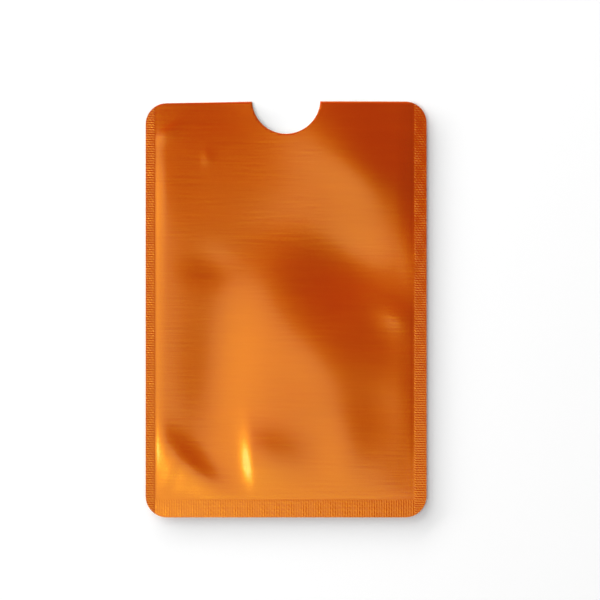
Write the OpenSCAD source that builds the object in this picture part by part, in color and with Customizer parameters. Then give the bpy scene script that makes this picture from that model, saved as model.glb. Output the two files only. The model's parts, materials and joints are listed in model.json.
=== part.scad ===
// Flat foil sleeve that shields one contactless card.
//
// The sleeve lies on its back. +Z points out of the front face, +Y points out of the mouth
// and +X runs to the right as seen from the front. The origin is the centre of the footprint
// on the surface that the sleeve lies on.
//
// Two laminated panels, front and back, are alike. From the outside in, each one is a tinted
// film, an aluminium foil and a heat-seal liner. Three welds join the panels along the left,
// right and bottom margins. There the two liners are melted into one strip. Between the welds
// the panels part over a rounded shoulder, and the card slides in through the open end.
//
// Each film is one sheet on the real sleeve. Here it is four simple solids that meet face to
// face: the flat middle, and one edge zone along each weld. The zones meet on mitre lines at
// the pocket's bottom corners, so each one keeps a single section from end to end.

/* [Card] */
// Width of the card that the pocket is made for
card_w = 53.98; // [50:0.01:60]
// Length of the card, along the pocket
card_l = 85.6; // [80:0.1:95]
// Thickness of the card
card_t = 0.76; // [0.4:0.01:1.2]

/* [Pocket] */
// Free width on each side of the card
side_clear = 1.11; // [0.8:0.01:3]
// Free length past the card, at the mouth
end_clear = 0.8; // [0.4:0.1:4]
// Free height over the card in the middle of the empty pocket
rise_clear = 0.84; // [0.6:0.01:2]
// Width of the rounded shoulder where each panel leaves the weld
shoulder_w = 2.4; // [1.8:0.1:4]

/* [Welded margins] */
// Width of the left weld
left_weld = 2.1; // [1.5:0.1:6]
// Width of the right weld
right_weld = 2.7; // [1.5:0.1:6]
// Height of the bottom weld
bottom_weld = 3.9; // [2:0.1:8]

/* [Outline] */
// Radius of the sleeve's four corners
corner_r = 4.6; // [2:0.1:7]
// Radius of the thumb notch
notch_r = 7.4; // [5:0.1:10]
// Depth of the thumb notch below the mouth
notch_depth = 7; // [4:0.1:9]

/* [Laminate] */
// Thickness of the tinted outer film
film_t = 0.03; // [0.02:0.01:0.1]
// Thickness of the aluminium foil
foil_t = 0.02; // [0.01:0.01:0.05]
// Thickness of one heat-seal liner
liner_t = 0.1; // [0.05:0.01:0.2]

/* [Hidden] */
$fn = 96;

film_color = "#D8701C";
foil_color = "#C9CCD0";
liner_color = "#E6E4DE";
weld_color = "#D2CEC4";

// The pocket and the whole sleeve follow from the card
pocket_w = card_w + 2 * side_clear;
pocket_l = card_l + end_clear;
sleeve_w = left_weld + pocket_w + right_weld;
sleeve_l = bottom_weld + pocket_l;

// Edges of the pocket
pocket_left = -sleeve_w / 2 + left_weld;
pocket_right = sleeve_w / 2 - right_weld;
pocket_bottom = -sleeve_l / 2 + bottom_weld;
mouth = sleeve_l / 2;

// Edges of the panels' flat middle
flat_left = pocket_left + shoulder_w;
flat_right = pocket_right - shoulder_w;
flat_bottom = pocket_bottom + shoulder_w;

// Each panel takes half of the pocket's height, in one arc from the weld to the flat middle
half_gap = (card_t + rise_clear) / 2;
shoulder_r = (pow(shoulder_w, 2) + pow(half_gap, 2)) / (2 * half_gap);

// Heights of the layers of one panel above the middle plane of the weld
foil_start = liner_t;
film_start = foil_start + foil_t;
panel_t = film_start + film_t;

// Height of the middle plane, with the back panel's flat middle on the ground
middle_z = half_gap + panel_t;

// How far cutting shapes reach past what they cut
spare = 5;

// How far the mitre lines and the film's zones run past the flat middle
reach = sleeve_w;

// Zones of the film. The mitre lines leave the flat middle's bottom corners at 45 degrees
middle_zone = [
    [flat_left, flat_bottom],
    [flat_right, flat_bottom],
    [flat_right, reach],
    [flat_left, reach]
];
left_zone = [
    [flat_left - reach, flat_bottom - reach],
    [flat_left, flat_bottom],
    [flat_left, reach],
    [flat_left - reach, reach]
];
right_zone = [
    [flat_right, flat_bottom],
    [flat_right + reach, flat_bottom - reach],
    [flat_right + reach, reach],
    [flat_right, reach]
];
bottom_zone = [
    [flat_left, flat_bottom],
    [flat_left - reach, flat_bottom - reach],
    [flat_right + reach, flat_bottom - reach],
    [flat_right, flat_bottom]
];

// Footprint of the sleeve, with its rounded corners and the thumb notch
module footprint() {
    difference() {
        rounded_rectangle();
        translate([0, mouth - notch_depth + notch_r])
            circle(r = notch_r);
    }
}

// The footprint before the notch is punched
module rounded_rectangle() {
    inset_w = sleeve_w - 2 * corner_r;
    inset_l = sleeve_l - 2 * corner_r;
    union() {
        square([inset_w, sleeve_l], center = true);
        square([sleeve_w, inset_l], center = true);
        for (side = [-1, 1], end = [-1, 1])
            translate([side * inset_w / 2, end * inset_l / 2])
                circle(r = corner_r);
    }
}

// Corner of a bulge's section that the shoulder arc cuts away, with the weld's edge at x = 0
module shoulder_cut() {
    difference() {
        translate([-spare, 0])
            square([spare + shoulder_w, half_gap + spare]);
        square([shoulder_w, half_gap]);
    }
    difference() {
        square([shoulder_w, half_gap]);
        translate([shoulder_w, half_gap - shoulder_r])
            circle(r = shoulder_r);
    }
}

// Section through a bulge of the given span, measured from one weld's edge
module bulge_section(span, closed_far_end) {
    difference() {
        translate([0, -spare])
            square([span, spare + half_gap]);
        shoulder_cut();
        if (closed_far_end)
            translate([span, 0])
                mirror([1, 0])
                    shoulder_cut();
    }
}

// Everything under a panel's bulge, whose inner skin stands at z = lift on the welds
module bulge(lift) {
    translate([0, 0, lift])
        intersection() {
            translate([pocket_left, sleeve_l, 0])
                rotate([90, 0, 0])
                    linear_extrude(2 * sleeve_l)
                        bulge_section(pocket_w, true);
            translate([-sleeve_w, pocket_bottom, 0])
                rotate([90, 0, 90])
                    linear_extrude(2 * sleeve_w)
                        bulge_section(pocket_l + spare, false);
        }
}

// Everything under a sheet that lies on the welds at z = lift and bulges over the pocket
module under_sheet(lift) {
    translate([-sleeve_w, -sleeve_l, -spare])
        cube([2 * sleeve_w, 2 * sleeve_l, spare + lift]);
    bulge(lift);
}

// One full sheet of a panel, from height low to height high above the middle plane
module sheet(low, high) {
    intersection() {
        linear_extrude(spare)
            footprint();
        difference() {
            under_sheet(high);
            under_sheet(low);
        }
    }
}

// Places a panel's layer on the front of the sleeve
module on_front() {
    translate([0, 0, middle_z])
        children();
}

// Places a panel's layer on the back of the sleeve
module on_back() {
    translate([0, 0, middle_z])
        mirror([0, 0, 1])
            children();
}

// Keeps what stands on the given outline
module within(outline) {
    intersection() {
        children();
        linear_extrude(spare)
            polygon(outline);
    }
}

// One zone of the outer film of a panel
module film(zone) {
    color(film_color)
        within(zone)
            sheet(film_start, panel_t);
}

// The shielding foil of a panel, in one sheet
module foil() {
    color(foil_color)
        sheet(foil_start, film_start);
}

// The liner covers the pocket only, because on the margins it is melted into the welds
module liner() {
    color(liner_color)
        intersection() {
            linear_extrude(spare)
                footprint();
            difference() {
                bulge(liner_t);
                bulge(0);
            }
        }
}

module front_film_middle() {
    on_front()
        film(middle_zone);
}

module front_film_left() {
    on_front()
        film(left_zone);
}

module front_film_right() {
    on_front()
        film(right_zone);
}

module front_film_bottom() {
    on_front()
        film(bottom_zone);
}

module front_foil() {
    on_front()
        foil();
}

module front_liner() {
    on_front()
        liner();
}

module back_film_middle() {
    on_back()
        film(middle_zone);
}

module back_film_left() {
    on_back()
        film(left_zone);
}

module back_film_right() {
    on_back()
        film(right_zone);
}

module back_film_bottom() {
    on_back()
        film(bottom_zone);
}

module back_foil() {
    on_back()
        foil();
}

module back_liner() {
    on_back()
        liner();
}

// A weld is two liners thick and ends at the sleeve's outline
module weld_strip(corner, size) {
    color(weld_color)
        translate([0, 0, middle_z - liner_t])
            linear_extrude(2 * liner_t)
                intersection() {
                    footprint();
                    translate(corner)
                        square(size);
                }
}

module left_weld_strip() {
    weld_strip([-sleeve_w / 2, -sleeve_l / 2], [left_weld, sleeve_l]);
}

module right_weld_strip() {
    weld_strip([pocket_right, -sleeve_l / 2], [right_weld, sleeve_l]);
}

module bottom_weld_strip() {
    weld_strip([pocket_left, -sleeve_l / 2], [pocket_w, bottom_weld]);
}

front_film_middle();
front_film_left();
front_film_right();
front_film_bottom();
front_foil();
front_liner();
back_film_middle();
back_film_left();
back_film_right();
back_film_bottom();
back_foil();
back_liner();
left_weld_strip();
right_weld_strip();
bottom_weld_strip();
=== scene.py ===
# %% [markdown]
# # A card sleeve of metallised film
#
# The object is a flat pouch for one contactless card. It is made of two thin panels that are
# welded together on three sides. Each panel is a sandwich: an orange film outside, an aluminium
# foil that blocks the radio field, and a pale liner that melts when the edges are welded.
# The CAD model gives the sizes and the collision. This lesson gives it the looks of the real one:
# film that ripples a little, welds with a knurled grain, and gloss that shows every ripple.

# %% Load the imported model
import json
import math

import bmesh
import bpy
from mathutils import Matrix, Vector

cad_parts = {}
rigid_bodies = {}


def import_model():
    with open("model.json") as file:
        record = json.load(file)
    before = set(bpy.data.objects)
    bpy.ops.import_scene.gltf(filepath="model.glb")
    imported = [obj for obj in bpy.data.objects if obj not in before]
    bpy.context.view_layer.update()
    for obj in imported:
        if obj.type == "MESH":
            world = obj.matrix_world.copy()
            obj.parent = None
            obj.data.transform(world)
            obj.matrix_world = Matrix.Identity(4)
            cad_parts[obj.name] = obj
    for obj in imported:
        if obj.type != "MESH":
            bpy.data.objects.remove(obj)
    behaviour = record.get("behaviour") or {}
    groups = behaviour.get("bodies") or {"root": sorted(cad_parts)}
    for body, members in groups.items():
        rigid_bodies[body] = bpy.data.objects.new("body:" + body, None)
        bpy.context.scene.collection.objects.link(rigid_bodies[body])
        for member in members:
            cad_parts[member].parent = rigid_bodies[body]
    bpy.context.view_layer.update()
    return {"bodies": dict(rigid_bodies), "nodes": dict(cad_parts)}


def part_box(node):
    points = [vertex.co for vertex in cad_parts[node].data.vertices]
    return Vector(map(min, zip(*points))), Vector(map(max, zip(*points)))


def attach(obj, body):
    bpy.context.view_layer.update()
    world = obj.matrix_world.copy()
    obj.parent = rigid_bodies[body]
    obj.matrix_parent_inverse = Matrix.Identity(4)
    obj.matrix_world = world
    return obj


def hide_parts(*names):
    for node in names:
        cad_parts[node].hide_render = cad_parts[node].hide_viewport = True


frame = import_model()
body_name = list(frame["bodies"])[0]
print("body:", body_name, "nodes:", len(frame["nodes"]))

# %% [markdown]
# ## Sizes that come from the CAD model
#
# The edges of the welds are read from the weld strips, so the sheets below fit the solids without
# a single typed-in position. Only the two punched curves, the corners and the thumb notch, are
# given as radii, because a box does not say how round a thing is.

# %% Read the sleeve's edges
MM = 0.001
left_weld_low, left_weld_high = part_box("left_weld_strip")
right_weld_low, right_weld_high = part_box("right_weld_strip")
bottom_weld_low, bottom_weld_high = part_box("bottom_weld_strip")
foil_low, foil_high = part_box("front_foil")

sleeve_left = left_weld_low.x
sleeve_right = right_weld_high.x
sleeve_bottom = bottom_weld_low.y
mouth = foil_high.y
pocket_left = left_weld_high.x
pocket_right = right_weld_low.x
pocket_bottom = bottom_weld_high.y
weld_middle = (left_weld_low.z + left_weld_high.z) / 2
corner_radius = 4.6 * MM
notch_radius = 7.4 * MM
NOTCH_RISE = 0.4 * MM
notch_centre = mouth + NOTCH_RISE
MOUTH_SLANT = 0.35 * MM
print("sleeve width:", round((sleeve_right - sleeve_left) / MM, 2), "mm")
print("sleeve length:", round((mouth - sleeve_bottom) / MM, 2), "mm")

# %% [markdown]
# ## The die-cut blank
#
# Every layer of the real sleeve is cut by the same die, so one flat blank is made first and each
# layer is a copy of it. Its outline is drawn by spinning single points into arcs, as a compass
# would: four corners, and the thumb notch, which is spun the other way round. Straight edges join
# the arcs, and one face fills the outline. The left end of the mouth is cut a little low, because
# the die never meets the film quite square.

# %% Draw the outline
CORNER_STEPS = 16
NOTCH_STEPS = 56
blank = bmesh.new()


def spun_arc(centre_x, centre_y, radius, start_angle, sweep, steps):
    """Spins one point round a centre and returns the arc's points in order."""
    angle = math.radians(start_angle)
    start = (centre_x + radius * math.cos(angle), centre_y + radius * math.sin(angle), 0)
    before = set(blank.verts)
    point = bmesh.ops.create_vert(blank, co=start)["vert"]
    bmesh.ops.spin(
        blank,
        geom=point,
        cent=(centre_x, centre_y, 0),
        axis=(0, 0, 1),
        angle=math.radians(sweep),
        steps=steps,
    )
    return [v for v in blank.verts if v not in before]


def corner(side_x, side_y, start_angle):
    """The arc of one rounded corner, from the outline's two edges that meet there."""
    centre_x = side_x - math.copysign(corner_radius, side_x)
    centre_y = side_y - math.copysign(corner_radius, side_y)
    return spun_arc(centre_x, centre_y, corner_radius, start_angle, 90, CORNER_STEPS)


notch_tilt = math.degrees(math.asin((notch_centre - mouth) / notch_radius))
outline = [
    corner(sleeve_right, sleeve_bottom, -90),
    corner(sleeve_right, mouth, 0),
    spun_arc(0, notch_centre, notch_radius, -notch_tilt, 2 * notch_tilt - 180, NOTCH_STEPS),
    corner(sleeve_left, mouth - MOUTH_SLANT, 90),
    corner(sleeve_left, sleeve_bottom, 180),
]
for arc, next_arc in zip(outline, outline[1:] + outline[:1]):
    bmesh.ops.contextual_create(blank, geom=[arc[-1], next_arc[0]])
bmesh.ops.contextual_create(blank, geom=blank.edges[:])
print("outline points:", len(blank.verts), "faces:", len(blank.faces))

# %% [markdown]
# ## Slicing the blank
#
# A sheet that should ripple needs many small faces. They are sliced with straight cuts, first in
# rows and then in columns, like a sheet on a guillotine. The spacing follows the ribs that the
# sealing jaws press into the welds, about half a millimetre. The welds are then cut once more
# between the slices, so that each rib has a line of points on its crest.

# %% Define the straight cuts
SAME_PLACE = 1e-7


def stations(start, end, count):
    """The places of the cuts between start and end, without start itself."""
    return [start + (end - start) * step / count for step in range(1, count + 1)]


def crests(start, end, count):
    """The places halfway between the cuts that stations gives."""
    return [start + (end - start) * (step + 0.5) / count for step in range(count)]


def slice_faces(faces, axis, places):
    """Cuts faces across one axis. Each cut meets only what lies beyond the last one."""
    normal = Vector((0, 0, 0))
    normal[axis] = 1
    rest = faces
    for place in places:
        edges = {edge for face in rest for edge in face.edges}
        verts = {vert for face in rest for vert in face.verts}
        cut = bmesh.ops.bisect_plane(
            blank,
            geom=rest + list(edges) + list(verts),
            dist=SAME_PLACE,
            plane_co=normal * place,
            plane_no=normal,
        )
        faces = [item for item in cut["geom"] if isinstance(item, bmesh.types.BMFace)]
        rest = [face for face in faces if face.calc_center_bounds()[axis] > place]


def beside_pocket(face):
    """True for a face on the left or the right weld, corners included."""
    centre = face.calc_center_bounds()
    return centre.x < pocket_left or centre.x > pocket_right


def below_pocket(face):
    """True for a face on the bottom weld, between the other two."""
    return face.calc_center_bounds().y < pocket_bottom and not beside_pocket(face)


def in_pocket(face):
    """True for a face between the welds."""
    return not (beside_pocket(face) or below_pocket(face))


print("three cuts over one millimetre:", [round(place, 2) for place in stations(0, 1, 3)])

# %% [markdown]
# Each dash of the grain gets two columns, one for its high point and one for its low point. The
# pocket's rows and columns have the pitch of the ribs, so the same cuts run on into the welds.

# %% Slice rows and columns
BOTTOM_ROWS = 8
POCKET_ROWS = 166
POCKET_COLUMNS = 106
DASH = 0.7 * MM
MERGE_DISTANCE = 1e-6
left_columns = 2 * round((pocket_left - sleeve_left) / DASH)
right_columns = 2 * round((sleeve_right - pocket_right) / DASH)
bottom_rows = stations(sleeve_bottom, pocket_bottom, BOTTOM_ROWS)
rows = bottom_rows + stations(pocket_bottom, mouth, POCKET_ROWS)
columns = (
    stations(sleeve_left, pocket_left, left_columns)
    + stations(pocket_left, pocket_right, POCKET_COLUMNS)
    + stations(pocket_right, sleeve_right, right_columns)
)
slice_faces(blank.faces[:], 1, rows[:-1])
slice_faces(blank.faces[:], 0, columns[:-1])
bottom_crests = crests(sleeve_bottom, pocket_bottom, BOTTOM_ROWS)
side_crests = bottom_crests + crests(pocket_bottom, mouth, POCKET_ROWS)
slice_faces([face for face in blank.faces if beside_pocket(face)], 1, side_crests)
slice_faces([face for face in blank.faces if below_pocket(face)], 1, bottom_crests)
upright_crests = crests(pocket_left, pocket_right, POCKET_COLUMNS)
slice_faces([face for face in blank.faces if below_pocket(face)], 0, upright_crests)
bmesh.ops.remove_doubles(blank, verts=blank.verts[:], dist=MERGE_DISTANCE)
blank.normal_update()
facing_down = [face for face in blank.faces if face.normal.z < 0]
bmesh.ops.reverse_faces(blank, faces=facing_down)
print("sliced into", len(blank.faces), "faces")

# %% [markdown]
# ## The knurled welds
#
# The heated jaws press fine ribs into the welded margins: lying ribs at the sides and upright ones
# along the bottom. The ribs are broken into short dashes, and the dashes of one rib stand between
# those of the next. The crests are raised by a small formula, because one rule for all is easier
# to change than a thousand points. The jaws press the margins unevenly, and the left one curls up
# a little. Flat shading keeps the ribs crisp, and the pocket stays smooth.

# %% Press the ribs
RIB_HEIGHT = 0.024 * MM
VALLEY_SHARE = 0.65
LEFT_PRESS = 1.4
RIGHT_PRESS = 1.0
BOTTOM_PRESS = 0.65
WEAR_MIDDLE = 0.8
WEAR_SWING = 0.3
rib_pitch = (mouth - pocket_bottom) / POCKET_ROWS
bottom_pitch = (pocket_bottom - sleeve_bottom) / BOTTOM_ROWS
upright_pitch = (pocket_right - pocket_left) / POCKET_COLUMNS


def dashes(rib, along):
    """Height of a broken rib, from 0 to 1. Both numbers count ribs and dashes."""
    crest = math.sin(math.pi * rib) ** 2
    stagger = 0.5 * (math.floor(rib) % 2)
    dash = abs(math.sin(math.pi * (along + stagger)))
    return crest * (VALLEY_SHARE + (1 - VALLEY_SHARE) * dash)


def wear(x, y):
    """The jaws don't press evenly: a slow change from 0.5 to 1.1 over the margins."""
    lengthwise = math.sin(0.9 * y / MM)
    slanting = math.sin(2.1 * x / MM + 0.23 * y / MM)
    return WEAR_MIDDLE + WEAR_SWING * lengthwise * slanting


def rib_height(x, y):
    """How high the pressed grain stands at a point, which is 0 in the pocket."""
    off_side = min(x - pocket_left, pocket_right - x)
    if off_side < -SAME_PLACE:
        press = LEFT_PRESS if x < 0 else RIGHT_PRESS
        rib = (y - sleeve_bottom) / bottom_pitch
        if y > pocket_bottom:
            rib = (y - pocket_bottom) / rib_pitch
        return press * RIB_HEIGHT * wear(x, y) * dashes(rib, off_side / DASH)
    if y < pocket_bottom - SAME_PLACE and off_side > SAME_PLACE:
        rib = (x - pocket_left) / upright_pitch
        along = (y - sleeve_bottom) / (2 * bottom_pitch)
        return BOTTOM_PRESS * RIB_HEIGHT * wear(x, y) * dashes(rib, along)
    return 0.0


CURL_SLOPE = 0.03
CURL_GROWTH = 0.0007


def left_curl(x, y):
    """The free left margin curls up a little, more so towards the bottom."""
    slope = CURL_SLOPE - CURL_GROWTH * y / MM
    return slope * max(pocket_left - x, 0)


for vert in blank.verts:
    vert.co.z = rib_height(vert.co.x, vert.co.y) + left_curl(vert.co.x, vert.co.y)
for face in blank.faces:
    face.smooth = in_pocket(face)
print("highest point of the margins:", round(max(vert.co.z for vert in blank.verts) / MM, 3), "mm")

# %% [markdown]
# ## How the front panel ripples
#
# An empty sleeve is never flat. The front panel rises from the welds over a soft shoulder, and
# then it waves: broad swells and hollows, a few tenths of a millimetre high or deep, and a few
# small pinches with one steep flank. They are written as short lists of soft hills, and could as
# well be sculpted, but a list is easier to try out. On a glossy sheet these low hills decide where
# it looks bright and where it looks dark: a rise towards the upper right mirrors the softbox.
# Their places were judged from the bright and dark parts of the photograph, and their heights were
# tried out until the gloss looked alike, so they are a guess at the real ones.

# %% List the swells and the pinches
FRONT_RISE = 0.10
# Middle x and y, long radius, short radius, turn in degrees, height: lengths in millimetres
SWELLS = [
    (-15, -12, 23, 8, 83, -0.50),
    (13, 10, 12, 9, -18, -0.60),
    (-5, 16, 11, 7, 40, -0.22),
    (10, 41, 14, 12, 110, 0.63),
    (19, 30, 10, 7, -40, 0.34),
    (10, -13, 14, 8, -52, 0.28),
    (20, -5, 6, 4, -50, -0.06),
    (13, -30, 8, 5, 90, 0.12),
    (-26, 24, 12, 5, 90, 0.08),
    (-17, 10, 5, 4, 0, -0.10),
    (-15, 45, 10, 7, 0, -0.20),
    (-21, -35, 12, 3.5, -45, 0.26),
    (25, -1, 5, 3, -20, 0.08),
    (-28, 40, 9, 5, 90, -0.06),
    (3, -22, 8, 6, 0, 0.10),
    (19, -21, 8, 6, -50, -0.12),
    (27, -36, 7, 5, 90, -0.08),
]
# The same, but with two short radii: a steep one left of the long axis and a gentle one right
PINCHES = [
    (-7.2, -32.0, 6.5, 2.0, 9, 94, 0.38),
    (-25.5, -35.5, 2.5, 0.8, 1.6, 60, 0.07),
    (-22.8, -38.0, 2.0, 0.8, 1.6, 40, 0.06),
    (-26.0, 38.5, 3.5, 0.7, 1.8, 35, 0.09),
    (-17.3, 33, 1.6, 0.7, 1.6, 80, 0.04),
    (24.0, -2.0, 2.5, 1.2, 2.0, -20, 0.015),
]
print("swells:", len(SWELLS), "pinches:", len(PINCHES))

# %% [markdown]
# The two panels' heights are small functions of x and y, all in millimetres. Near a weld the
# height fades out over a reach of its own for each side, with a small step where the film leaves
# the weld.

# %% Turn the lists into heights
def pinch(x, y, middle_x, middle_y, long_radius, steep, gentle, turn, height):
    """A hill with one steep flank, as where the film was pinched."""
    along = math.cos(math.radians(turn))
    across = math.sin(math.radians(turn))
    u = ((x - middle_x) * along + (y - middle_y) * across) / long_radius
    v = (y - middle_y) * along - (x - middle_x) * across
    v /= steep if v > 0 else gentle
    return height * math.exp(-u * u - v * v)


def hill(x, y, middle_x, middle_y, long_radius, short_radius, turn, height):
    """One soft hill with like flanks, or a hollow where its height is negative."""
    return pinch(x, y, middle_x, middle_y, long_radius, short_radius, short_radius, turn, height)


def shoulder(distance, reach):
    """A soft rise from 0 on the weld to 1 where the reach ends."""
    left_over = 1 - min(max(distance / reach, 0), 1)
    return 1 - left_over * left_over


STEP_WIDTH = 0.5


def leaving(distance, reach, step_share):
    """Share of the full height near a weld: a small step, and then a long soft rise."""
    step = min(max(distance / STEP_WIDTH, 0), 1)
    return step_share * step + (1 - step_share) * shoulder(distance, reach)


def inside(x, y):
    """How far a point has left the welds, from 0 on them to 1 well inside the pocket."""
    from_left = leaving(x - pocket_left / MM, reach=2.5, step_share=0.1)
    from_right = leaving(pocket_right / MM - x, reach=4, step_share=0.2)
    from_bottom = leaving(y - pocket_bottom / MM, reach=8, step_share=0.15)
    return from_left * from_right * from_bottom


def front_height(x, y):
    """Height of the front panel over the weld, in millimetres."""
    hills = sum(hill(x, y, *swell) for swell in SWELLS)
    pinches = sum(pinch(x, y, *fold) for fold in PINCHES)
    return inside(x, y) * (FRONT_RISE + hills + pinches)


BACK_DROP = 0.8
BACK_REACH = 2.4


def back_height(x, y):
    """The back panel lies on the table, so it drops from the welds and then stays flat."""
    edge = min(x - pocket_left / MM, pocket_right / MM - x, y - pocket_bottom / MM)
    return -BACK_DROP * shoulder(edge, BACK_REACH)


print("front height in the middle:", round(front_height(0, 0), 3), "mm")

# %% [markdown]
# Both panels start as copies of the blank. Their points are moved up or down only, so the die-cut
# outline stays as it is.

# %% Shape the two blanks
def shaped(height):
    """A copy of the blank whose pocket follows the given height."""
    panel = blank.copy()
    for vert in panel.verts:
        vert.co.z += weld_middle + height(vert.co.x / MM, vert.co.y / MM) * MM
    heights = [vert.co.z / MM for vert in panel.verts]
    print("panel from", round(min(heights), 3), "to", round(max(heights), 3), "mm")
    return panel


front_panel = shaped(front_height)
back_panel = shaped(back_height)

# %% [markdown]
# ## From blank to layer
#
# A layer is a copy of the shaped blank that is lifted to its place in the sandwich and extruded
# by its thickness. All layers start from the same points, so film, foil and liner lie face to
# face, as laminated sheets do. Solidify would also give thickness, but it moves points along
# their normals, and then neighbouring layers would cut into each other on the shoulders.

# %% Build the layers
LINER = 0.1 * MM
FOIL = 0.02 * MM
FILM = 0.03 * MM


def layer(name, panel, lift, thickness, keep=None):
    """Makes one layer of the sandwich from a shaped panel and adds it to the scene."""
    mesh = panel.copy()
    if keep is not None:
        spare = [face for face in mesh.faces if not keep(face)]
        bmesh.ops.delete(mesh, geom=spare, context="FACES")
    bmesh.ops.translate(mesh, verts=mesh.verts[:], vec=(0, 0, lift))
    lower_skin = mesh.faces[:]
    grown = bmesh.ops.extrude_face_region(mesh, geom=lower_skin)["geom"]
    upper = [item for item in grown if isinstance(item, bmesh.types.BMVert)]
    upper_skin = [item for item in grown if isinstance(item, bmesh.types.BMFace)]
    bmesh.ops.translate(mesh, verts=upper, vec=(0, 0, thickness))
    for face in set(mesh.faces) - set(lower_skin) - set(upper_skin):
        face.smooth = False
    closed = all(edge.is_manifold for edge in mesh.edges)
    volume = mesh.calc_volume() / MM**3
    print(name, "faces", len(mesh.faces), "closed", closed, "volume mm3", round(volume, 1))
    data = bpy.data.meshes.new(name)
    mesh.to_mesh(data)
    mesh.free()
    piece = bpy.data.objects.new(name, data)
    bpy.context.scene.collection.objects.link(piece)
    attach(piece, body_name)
    return piece


front_film = layer("front_film_sheet", front_panel, LINER + FOIL, FILM)
front_foil = layer("front_foil_sheet", front_panel, LINER, FOIL)
front_liner = layer("front_liner_sheet", front_panel, 0, LINER, in_pocket)
back_liner = layer("back_liner_sheet", back_panel, -LINER, LINER, in_pocket)
back_foil = layer("back_foil_sheet", back_panel, -LINER - FOIL, FOIL)
back_film = layer("back_film_sheet", back_panel, -LINER - FOIL - FILM, FILM)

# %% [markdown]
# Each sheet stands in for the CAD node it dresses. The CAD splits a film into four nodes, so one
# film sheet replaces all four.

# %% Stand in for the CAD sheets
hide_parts("front_film_middle", "front_film_left", "front_film_right", "front_film_bottom")
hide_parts("front_foil")
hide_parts("front_liner")
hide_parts("back_film_middle", "back_film_left", "back_film_right", "back_film_bottom")
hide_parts("back_foil")
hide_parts("back_liner")
print("front film:", front_film.name, "back film:", back_film.name)

# %% [markdown]
# ## The welds
#
# On the margins both liners are melted into one strip between the two foils. The strips are cut
# from the same knurled blank, so they fill the gap between the foils exactly.

# %% Build the weld strips
def beside_left(face):
    """True for a face on the left weld, which runs the whole length of the sleeve."""
    return face.calc_center_bounds().x < pocket_left


def beside_right(face):
    """True for a face on the right weld."""
    return face.calc_center_bounds().x > pocket_right


weld_places = {"left_weld": beside_left, "right_weld": beside_right, "bottom_weld": below_pocket}
welds = []
for weld_name, place in weld_places.items():
    weld = layer(weld_name, front_panel, -LINER, 2 * LINER, place)
    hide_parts(weld_name + "_strip")
    welds.append(weld)
print("welds:", len(welds))

# %% [markdown]
# ## Materials
#
# Each finish is a small node tree round one Principled shader. Textures read object coordinates,
# which are metres on this sleeve, so a pattern's scale is its real size.

# %% Helpers for node trees
def new_finish(name):
    """A new material, its node tree and its one Principled shader."""
    material = bpy.data.materials.new(name)
    material.use_nodes = True
    tree = material.node_tree
    return material, tree, tree.nodes["Principled BSDF"]


def add(tree, kind, inputs=None, **settings):
    """Adds a node, sets its options and fills or links its inputs."""
    node = tree.nodes.new(kind)
    for option, value in settings.items():
        setattr(node, option, value)
    for socket, value in (inputs or {}).items():
        if isinstance(value, bpy.types.NodeSocket):
            tree.links.new(value, node.inputs[socket])
        else:
            node.inputs[socket].default_value = value
    return node


def streaks(tree, along, across, detail=3.0):
    """Noise stretched along the sleeve's width, as from rolling. Sizes are in millimetres."""
    coordinates = add(tree, "ShaderNodeTexCoord")
    scale = (1000 / along, 1000 / across, 1000 / across)
    places = {"Vector": coordinates.outputs["Object"], "Scale": scale}
    placed = add(tree, "ShaderNodeMapping", places)
    pattern = {"Vector": placed.outputs["Vector"], "Scale": 1.0, "Detail": detail}
    return add(tree, "ShaderNodeTexNoise", pattern).outputs["Fac"]


def between(tree, value, low, high):
    """Maps a 0 to 1 value to a range."""
    mapped = add(tree, "ShaderNodeMapRange", {"Value": value, "To Min": low, "To Max": high})
    return mapped.outputs["Result"]


def blend_colours(tree, value, first, second):
    """Mixes two colours by a value."""
    mixed = add(tree, "ShaderNodeMix", data_type="RGBA")
    tree.links.new(value, mixed.inputs["Factor"])
    for socket in mixed.inputs:
        if socket.name == "A" and socket.type == "RGBA":
            socket.default_value = (*first, 1)
        if socket.name == "B" and socket.type == "RGBA":
            socket.default_value = (*second, 1)
    return [socket for socket in mixed.outputs if socket.type == "RGBA"][0]


def tint(tree, shader, value, first, second):
    """Gives a shader a base colour that wanders between two colours."""
    tree.links.new(blend_colours(tree, value, first, second), shader.inputs["Base Color"])


def set_sockets(shader, **values):
    """Sets constants on a shader. An underscore in a name stands for a space."""
    for name, value in values.items():
        shader.inputs[name.replace("_", " ")].default_value = value


print("scale of a pattern with a pitch of 0.5 mm:", 1000 / 0.5)

# %% [markdown]
# ## The orange film
#
# The film is a clear orange lacquer over a mirror layer. Where it faces something dark it shows
# its own deep orange, and where it mirrors a lamp a lighter orange gloss comes on top. So the
# base colour is deep, and the strong gloss has a lighter tint. A Metallic shader would have one
# colour for both. A thin clear coat adds the white core of the sharpest highlights. Rolling left
# fine streaks across the sheet, which are a low bump and a small change of roughness.

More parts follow.
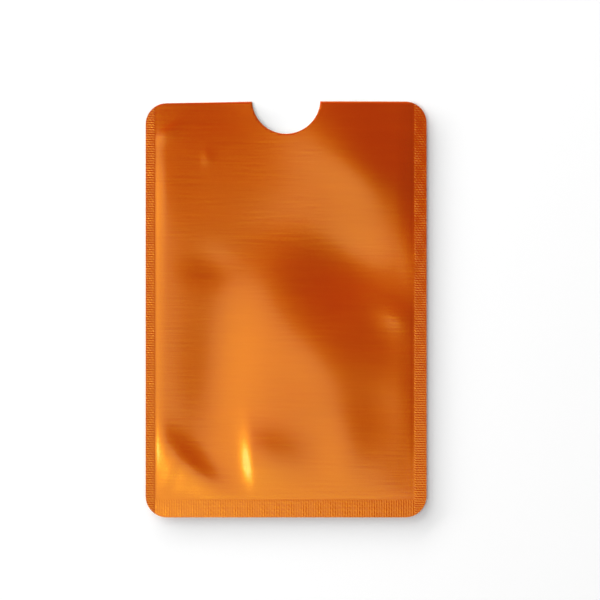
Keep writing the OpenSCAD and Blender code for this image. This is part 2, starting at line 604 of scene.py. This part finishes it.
# %% Make the film's finish
film_finish, tree, shader = new_finish("orange_metallised_film")
fine = streaks(tree, along=8.0, across=0.6)
broad = streaks(tree, along=14.0, across=1.6, detail=2.0)
set_sockets(
    shader,
    Metallic=0.0,
    IOR=2.45,
    Specular_IOR_Level=1.0,
    Specular_Tint=(1.0, 0.49, 0.0, 1),
    Coat_Weight=0.6,
    Coat_Roughness=0.12,
)
tint(tree, shader, broad, (0.53, 0.008, 0.0), (0.59, 0.014, 0.0))
tree.links.new(between(tree, fine, low=0.18, high=0.25), shader.inputs["Roughness"])
STREAK_DEPTH = 0.019 * MM
bump_inputs = {"Height": fine, "Strength": 1.0, "Distance": STREAK_DEPTH}
streak_bump = add(tree, "ShaderNodeBump", bump_inputs)
tree.links.new(streak_bump.outputs["Normal"], shader.inputs["Normal"])
for film in (front_film, back_film):
    film.data.materials.append(film_finish)
print("film finish:", film_finish.name, "nodes:", len(film_finish.node_tree.nodes))

# %% [markdown]
# ## Foil, liner and weld
#
# The foil only shows as a bright line on the cut edges. The liner shows inside the mouth: a pale
# satin plastic with a faint grain. The melted weld is the same plastic, cloudier.

# %% Make the inner finishes
foil_finish, tree, shader = new_finish("rolled_aluminium_foil")
foil_lines = streaks(tree, along=12.0, across=0.12)
set_sockets(shader, Metallic=1.0)
tint(tree, shader, foil_lines, (0.55, 0.57, 0.6), (0.68, 0.7, 0.72))
tree.links.new(between(tree, foil_lines, low=0.22, high=0.4), shader.inputs["Roughness"])
for foil in (front_foil, back_foil):
    foil.data.materials.append(foil_finish)

liner_finish, tree, shader = new_finish("satin_seal_liner")
liner_grain = streaks(tree, along=0.6, across=0.5, detail=5.0)
set_sockets(shader, IOR=1.5)
tint(tree, shader, liner_grain, (0.74, 0.73, 0.69), (0.82, 0.81, 0.77))
tree.links.new(between(tree, liner_grain, low=0.35, high=0.55), shader.inputs["Roughness"])
for liner in (front_liner, back_liner):
    liner.data.materials.append(liner_finish)

weld_finish, tree, shader = new_finish("melted_weld_plastic")
weld_cloud = streaks(tree, along=1.4, across=1.1, detail=4.0)
tint(tree, shader, weld_cloud, (0.58, 0.56, 0.5), (0.7, 0.68, 0.62))
tree.links.new(between(tree, weld_cloud, low=0.4, high=0.65), shader.inputs["Roughness"])
for weld in welds:
    weld.data.materials.append(weld_finish)
print("finishes:", foil_finish.name, liner_finish.name, weld_finish.name)

# %% [markdown]
# ## The table and the studio
#
# The sleeve lies on a pale table, far wider than the picture, so its own edges are never seen. A
# flat grid is enough, since nothing but a soft shadow falls on it.

# %% Lay the table
TABLE_HALF = 2.0
table_mesh = bmesh.new()
bmesh.ops.create_grid(table_mesh, x_segments=2, y_segments=2, size=TABLE_HALF)
table_data = bpy.data.meshes.new("table")
table_mesh.to_mesh(table_data)
table_mesh.free()
table = bpy.data.objects.new("table", table_data)
bpy.context.scene.collection.objects.link(table)
print("table width:", round(table.dimensions.x, 2), "m")

# %% [markdown]
# The table counts as white for the camera and for mirror reflections, so the picture's ground is
# white and still takes the sleeve's soft shadow. To all other light it is a plain pale grey, so it
# doesn't flood the sleeve's edges. The Light Path node tells which kind of ray has met it.

# %% Finish the table
table_finish = bpy.data.materials.new("pale_table")
table_finish.use_nodes = True
tree = table_finish.node_tree
tree.nodes.clear()
path = add(tree, "ShaderNodeLightPath")
plain = add(tree, "ShaderNodeBsdfDiffuse", {"Color": (0.8, 0.8, 0.8, 1)})
white = add(tree, "ShaderNodeBsdfDiffuse", {"Color": (1.0, 1.0, 1.0, 1)})
seen = add(
    tree,
    "ShaderNodeMath",
    {0: path.outputs["Is Camera Ray"], 1: path.outputs["Is Glossy Ray"]},
    operation="MAXIMUM",
)
table_mix = add(
    tree,
    "ShaderNodeMixShader",
    {0: seen.outputs["Value"], 1: plain.outputs["BSDF"], 2: white.outputs["BSDF"]},
)
add(tree, "ShaderNodeOutputMaterial", {"Surface": table_mix.outputs["Shader"]})
table_data.materials.append(table_finish)
print("table finish:", table_finish.name)

# %% [markdown]
# ## Lamps
#
# One big softbox hangs over the lower left of the sleeve. Its edge is nearly straight overhead:
# the film mirrors the box where it leans one way and the dim ceiling where it leans the other.
# An even lamp with a straight edge makes this easy to steer, which a bare bulb would not.

# %% Hang the overhead softbox
def soft_lamp(name, place, aim, width, height, level):
    """A rectangular softbox of one even brightness, facing a point, sizes in metres."""
    data = bpy.data.lights.new(name, "AREA")
    data.shape = "RECTANGLE"
    data.size = width
    data.size_y = height
    data.energy = level * width * height * math.pi
    lamp = bpy.data.objects.new(name, data)
    lamp.location = place
    direction = Vector(aim) - Vector(place)
    lamp.rotation_euler = direction.to_track_quat("-Z", "Y").to_euler()
    lamp.visible_camera = False
    bpy.context.scene.collection.objects.link(lamp)
    print(name, "at", [round(value, 2) for value in lamp.location], "m")
    return lamp


# A lamp turned like this faces straight down, and its width lies along the picture's diagonal
DIAGONAL = (0, 0, math.radians(45))
BOX_HEIGHT = 1.5
BOX_WIDTH = 1.2
BOX_LENGTH = 2.0
EDGE_DEGREES = -1.25
edge_lean = math.tan(math.radians(EDGE_DEGREES)) * BOX_HEIGHT
middle = (edge_lean - BOX_WIDTH / 2) / math.sqrt(2)
box_place = (middle, middle, BOX_HEIGHT)
box_aim = (middle, middle, 0)
overhead = soft_lamp("overhead_softbox", box_place, box_aim, BOX_WIDTH, BOX_LENGTH, level=1.14)
overhead.rotation_euler = DIAGONAL

# %% [markdown]
# Two more boxes stand at the upper left, one raised and one low, and draw the soft shadow. They
# are hidden from mirror reflections, which a real lamp can't be, because with them the film would
# turn plain yellow when seen from low down.

# %% Stand up the shadow softboxes
SLEEVE_MIDDLE = (0, 0, 0)
SHADOW_DISTANCE = 1.2
RAISED_HEIGHT = 0.65
LOW_HEIGHT = 0.22
shadow_side = Vector((-1, 1, 0)).normalized()
raised_place = shadow_side * SHADOW_DISTANCE + Vector((0, 0, RAISED_HEIGHT))
low_place = shadow_side * SHADOW_DISTANCE + Vector((0, 0, LOW_HEIGHT))
raised = soft_lamp("raised_softbox", raised_place, SLEEVE_MIDDLE, width=2.0, height=0.6, level=2.7)
low = soft_lamp("low_softbox", low_place, SLEEVE_MIDDLE, width=2.8, height=0.2, level=20.0)
for shadow_lamp in (raised, low):
    shadow_lamp.visible_glossy = False

# %% [markdown]
# A narrow, brighter strip hangs just under the big box. Only the steep flanks of the pinches lean
# far enough to mirror it, and there it draws a thin bright crease.

# %% Hang the strip
STRIP_HEIGHT = 1.4
STRIP_DEGREES = -19
STRIP_SHIFT = 0.2
strip_lean = math.tan(math.radians(STRIP_DEGREES)) * STRIP_HEIGHT
strip_x = (strip_lean - STRIP_SHIFT) / math.sqrt(2)
strip_y = (strip_lean + STRIP_SHIFT) / math.sqrt(2)
strip_place = (strip_x, strip_y, STRIP_HEIGHT)
strip_aim = (strip_x, strip_y, 0)
strip = soft_lamp("strip_softbox", strip_place, strip_aim, width=0.12, height=0.9, level=6.5)
strip.rotation_euler = DIAGONAL

# %% [markdown]
# The room is a plain white glow: brighter round the sides, which low views mirror, and dim
# overhead, which the film mirrors where it looks dark in the photograph.

# %% Fill the room
world = bpy.data.worlds.new("studio_room")
bpy.context.scene.world = world
world.use_nodes = True
tree = world.node_tree
tree.nodes.clear()
direction = add(tree, "ShaderNodeTexCoord")
parts = add(tree, "ShaderNodeSeparateXYZ", {"Vector": direction.outputs["Generated"]})
WALL_TOP = 0.45
CEILING_START = 0.85
WALL_LEVEL = 0.48
CEILING_LEVEL = 0.12
fade = {"Value": parts.outputs["Z"], "From Min": WALL_TOP, "From Max": CEILING_START}
levels = {"To Min": WALL_LEVEL, "To Max": CEILING_LEVEL}
wall_to_ceiling = add(tree, "ShaderNodeMapRange", {**fade, **levels})
glow = {"Color": (1, 1, 1, 1), "Strength": wall_to_ceiling.outputs["Result"]}
room = add(tree, "ShaderNodeBackground", glow)
add(tree, "ShaderNodeOutputWorld", {"Surface": room.outputs["Background"]})
print("room:", WALL_LEVEL, "at the sides,", CEILING_LEVEL, "overhead")

# %% [markdown]
# ## The camera
#
# The photograph looks straight down. A long lens keeps the sleeve free of perspective. The frame
# is 130.3 mm wide at the film, and the sleeve lies a little left of and below its middle.

# %% Set the camera
FRAME_WIDTH = 130.3 * MM
AIM_X = 3.02 * MM
AIM_Y = 2.06 * MM
FILM_LEVEL = 1.1 * MM
camera_data = bpy.data.cameras.new("camera")
camera_data.sensor_width = 36
camera_data.lens = 135
camera_data.clip_start = 0.01
camera_data.clip_end = 10
camera_height = FILM_LEVEL + FRAME_WIDTH * camera_data.lens / camera_data.sensor_width
camera = bpy.data.objects.new("camera", camera_data)
camera.location = (AIM_X, AIM_Y, camera_height)
bpy.context.scene.collection.objects.link(camera)
bpy.context.scene.camera = camera
bpy.context.scene.view_settings.view_transform = "Standard"
print("camera height:", round(camera_height / MM, 1), "mm")
